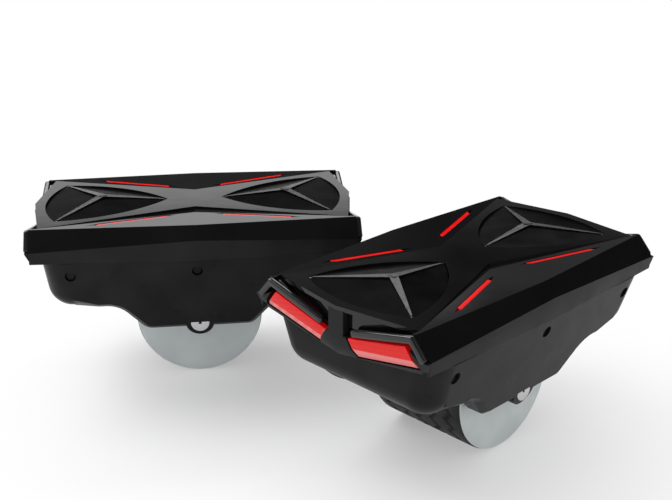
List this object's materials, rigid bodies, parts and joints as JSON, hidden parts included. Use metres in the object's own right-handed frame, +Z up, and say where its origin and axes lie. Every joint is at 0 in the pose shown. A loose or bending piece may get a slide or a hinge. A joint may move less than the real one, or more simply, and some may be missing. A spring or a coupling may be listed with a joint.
{
  "type": "self-balancing hoverboard shoes",
  "caption": "Pair of single-wheel self-balancing shoes: faceted deck, leaf foot pads, moulded shell, hub-motor wheel, lamps and light strips.",
  "frame": {"origin": "on the floor, under the middle of the pair's bounding box", "axes": "+X forward and +Y to the rider's left for the left shoe, +Z up; the right shoe stands turned 37.1 degrees"},
  "size_m": [0.5644, 0.4528, 0.172],
  "materials": {
    "gloss_black": "gloss",
    "matte_black": "fine texture",
    "shell_plastic": "satin",
    "pad_plastic": "gloss with grey ribs",
    "red_lens": "gloss",
    "clear_lens": "gloss",
    "circuit_board": "satin",
    "foot_rubber": "matte",
    "steel": "satin",
    "aluminium": "satin",
    "aluminium_satin": "fine satin",
    "tyre": "matte",
    "iron": "satin",
    "magnet": "plated",
    "copper": "enamelled wire",
    "battery_wrap": "shrink wrap"
  },
  "bodies": {
    "left_chassis": {"left_deck": "gloss_black", "left_side_trims": "matte_black", "left_front_fascia": "matte_black", "left_rear_fascia": "matte_black", "left_lower_shell": "shell_plastic", "left_light_strips": "red_lens", "left_lamp_hoods": "gloss_black", "left_front_lenses": "clear_lens", "left_rear_lenses": "red_lens", "left_lamp_boards": "circuit_board", "left_rest_feet": "foot_rubber", "left_shell_bolts": "steel", "left_chassis": "aluminium", "left_axle": "steel", "left_stator_core": "iron", "left_windings": "copper", "left_battery": "battery_wrap", "left_controller": "circuit_board", "left_pad_sensors": "circuit_board", "left_charge_socket": "matte_black"},
    "left_wheel": {"left_tyre": "tyre", "left_rotor_drum": "aluminium_satin", "left_wheel_cover": "aluminium_satin", "left_magnets": "magnet"},
    "left_front_pad": {"left_front_pad": "pad_plastic"},
    "left_rear_pad": {"left_rear_pad": "pad_plastic"},
    "left_power_button": {"left_power_button": "foot_rubber"},
    "left_charge_cap": {"left_charge_cap": "foot_rubber"},
    "right_chassis": {"right_deck": "gloss_black", "right_side_trims": "matte_black", "right_front_fascia": "matte_black", "right_rear_fascia": "matte_black", "right_lower_shell": "shell_plastic", "right_light_strips": "red_lens", "right_lamp_hoods": "gloss_black", "right_front_lenses": "clear_lens", "right_rear_lenses": "red_lens", "right_lamp_boards": "circuit_board", "right_rest_feet": "foot_rubber", "right_shell_bolts": "steel", "right_chassis": "aluminium", "right_axle": "steel", "right_stator_core": "iron", "right_windings": "copper", "right_battery": "battery_wrap", "right_controller": "circuit_board", "right_pad_sensors": "circuit_board", "right_charge_socket": "matte_black"},
    "right_wheel": {"right_tyre": "tyre", "right_rotor_drum": "aluminium_satin", "right_wheel_cover": "aluminium_satin", "right_magnets": "magnet"},
    "right_front_pad": {"right_front_pad": "pad_plastic"},
    "right_rear_pad": {"right_rear_pad": "pad_plastic"},
    "right_power_button": {"right_power_button": "foot_rubber"},
    "right_charge_cap": {"right_charge_cap": "foot_rubber"}
  },
  "joints": [
    {"name": "left_wheel_spin", "type": "hinge", "parent": "left_chassis", "child": "left_wheel", "pos_m": [-0.12671, 0.12953, 0.061], "axis": [0, 1, 0], "continuous": true},
    {"name": "left_front_pad_press", "type": "slide", "parent": "left_chassis", "child": "left_front_pad", "axis": [0, 0, -1], "range_m": [0, 0.0015], "stiffness_N_per_m": 4000, "springref_m": -0.001},
    {"name": "left_rear_pad_press", "type": "slide", "parent": "left_chassis", "child": "left_rear_pad", "axis": [0, 0, -1], "range_m": [0, 0.0015], "stiffness_N_per_m": 4000, "springref_m": -0.001},
    {"name": "left_power_button_press", "type": "slide", "parent": "left_chassis", "child": "left_power_button", "axis": [0, -1, 0], "range_m": [0, 0.001], "stiffness_N_per_m": 800, "springref_m": -0.001},
    {"name": "left_charge_cap_lift", "type": "hinge", "parent": "left_chassis", "child": "left_charge_cap", "pos_m": [-0.09471, 0.22533, 0.154], "axis": [1, 0, 0], "range_deg": [0, 110]},
    {"name": "right_wheel_spin", "type": "hinge", "parent": "right_chassis", "child": "right_wheel", "pos_m": [0.10179, -0.05807, 0.061], "axis": [-0.6032, 0.7976, 0], "continuous": true},
    {"name": "right_front_pad_press", "type": "slide", "parent": "right_chassis", "child": "right_front_pad", "axis": [0, 0, -1], "range_m": [0, 0.0015], "stiffness_N_per_m": 4000, "springref_m": -0.001},
    {"name": "right_rear_pad_press", "type": "slide", "parent": "right_chassis", "child": "right_rear_pad", "axis": [0, 0, -1], "range_m": [0, 0.0015], "stiffness_N_per_m": 4000, "springref_m": -0.001},
    {"name": "right_power_button_press", "type": "slide", "parent": "right_chassis", "child": "right_power_button", "axis": [0.6032, -0.7976, 0], "range_m": [0, 0.001], "stiffness_N_per_m": 800, "springref_m": -0.001},
    {"name": "right_charge_cap_lift", "type": "hinge", "parent": "right_chassis", "child": "right_charge_cap", "pos_m": [0.06953, 0.03764, 0.154], "axis": [0.7976, 0.6032, 0], "range_deg": [0, 110]},
    {"name": "stance", "type": "slide", "parent": "left_chassis", "child": "right_chassis", "axis": [0.7729, -0.6345, 0], "range_m": [0, 0.12]}
  ]
}
